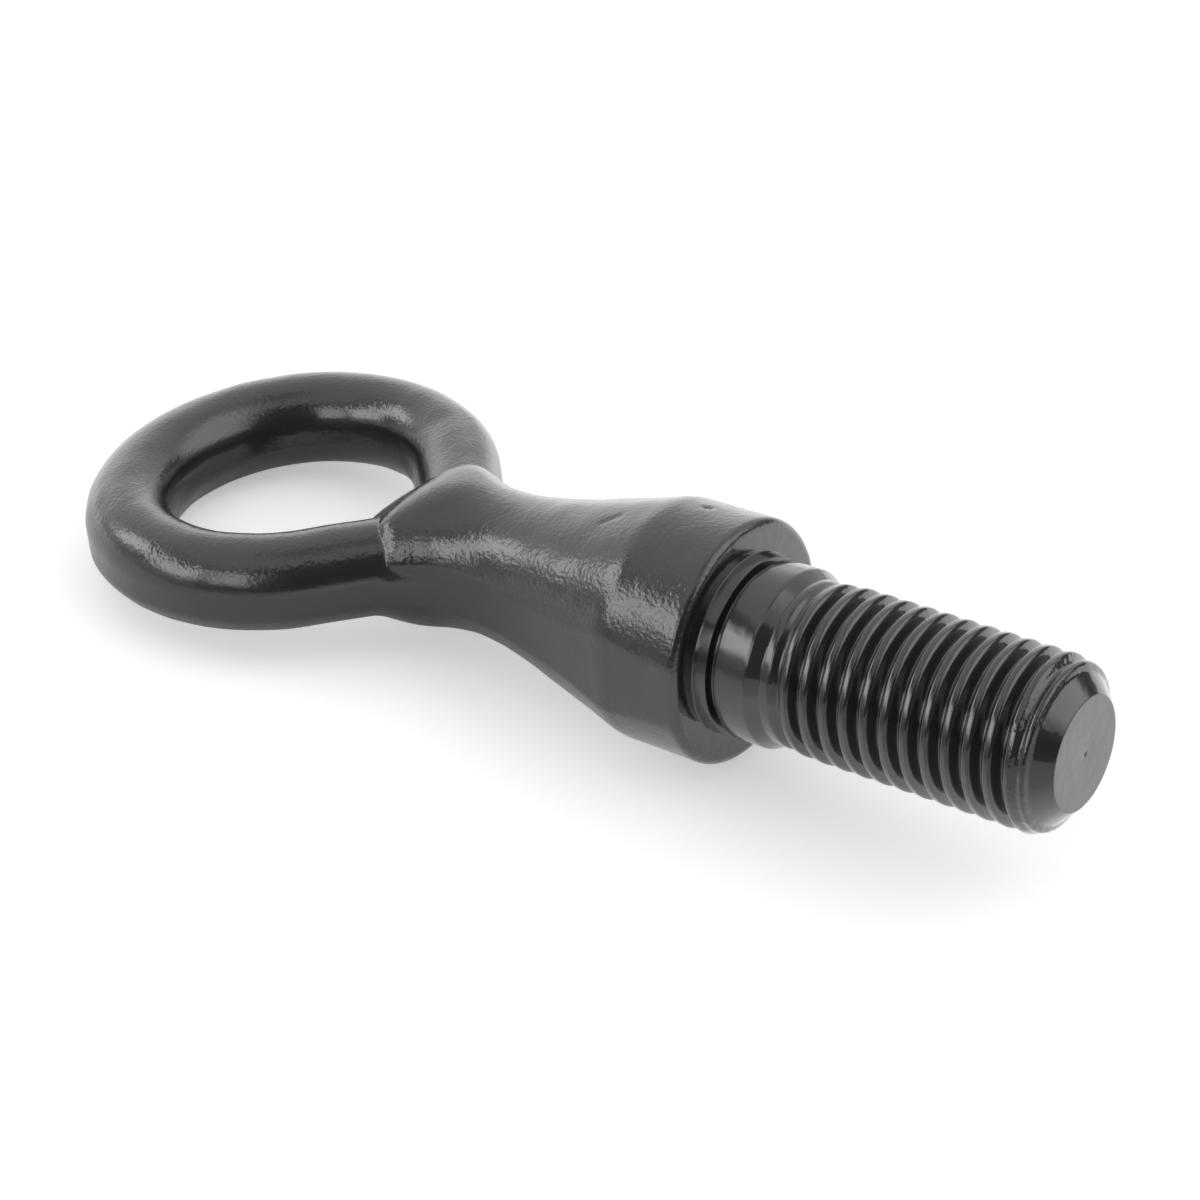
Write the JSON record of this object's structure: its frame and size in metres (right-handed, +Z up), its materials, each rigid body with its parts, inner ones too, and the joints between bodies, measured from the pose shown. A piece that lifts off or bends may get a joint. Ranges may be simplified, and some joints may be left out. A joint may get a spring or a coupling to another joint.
{
  "type": "tow eye",
  "caption": "Screw-in tow eye: a forged ring on a waisted shank, with a seating collar, a plain neck and a coarse machine thread that turns into a threaded socket for towing.",
  "frame": {"origin": "centre of the bounding box, on the floor that the eye lies on", "axes": "+X along the eye from the ring's tip to the screw's end, +Y across the ring, +Z up from the floor; the screw axis rises 6.4 degrees towards +X because the eye lies on its collar and on the ring's tip"},
  "size_m": [0.1354, 0.0526, 0.03],
  "materials": {
    "black_paint": "gloss black paint over a forged and machined steel body"
  },
  "bodies": {
    "root": {"tow_eye": "black_paint"}
  },
  "joints": []
}
